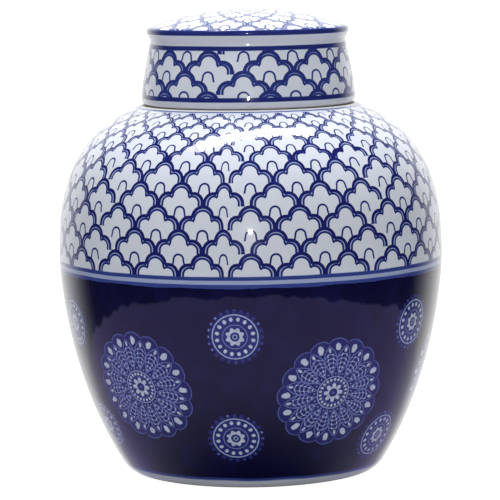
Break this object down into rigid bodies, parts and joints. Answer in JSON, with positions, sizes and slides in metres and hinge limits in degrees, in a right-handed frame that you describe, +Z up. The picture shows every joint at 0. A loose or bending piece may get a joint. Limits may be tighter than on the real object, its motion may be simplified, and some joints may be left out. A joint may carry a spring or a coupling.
{
  "type": "ginger jar",
  "caption": "Round-shouldered glazed porcelain jar with a foot ring, a short neck collar and a hollow flaring cap lid that lifts off.",
  "frame": {"origin": "centre of the foot ring's underside, on the turning axis, where the jar stands", "axes": "+Z up along the turning axis, from the foot to the top of the lid; the shape is turned, so X and Y are equal"},
  "size_m": [0.211, 0.211, 0.254],
  "materials": {
    "body_glaze": "clear glossy glaze over cobalt blue painting on white porcelain",
    "lid_glaze": "clear glossy glaze over cobalt blue painting on white porcelain"
  },
  "bodies": {
    "jar_body": {"jar_body": "body_glaze"},
    "lid": {"lid": "lid_glaze"}
  },
  "joints": [
    {"name": "lid_lift", "type": "slide", "parent": "jar_body", "child": "lid", "axis": [0, 0, 1], "range_m": [0, 0.08]}
  ]
}
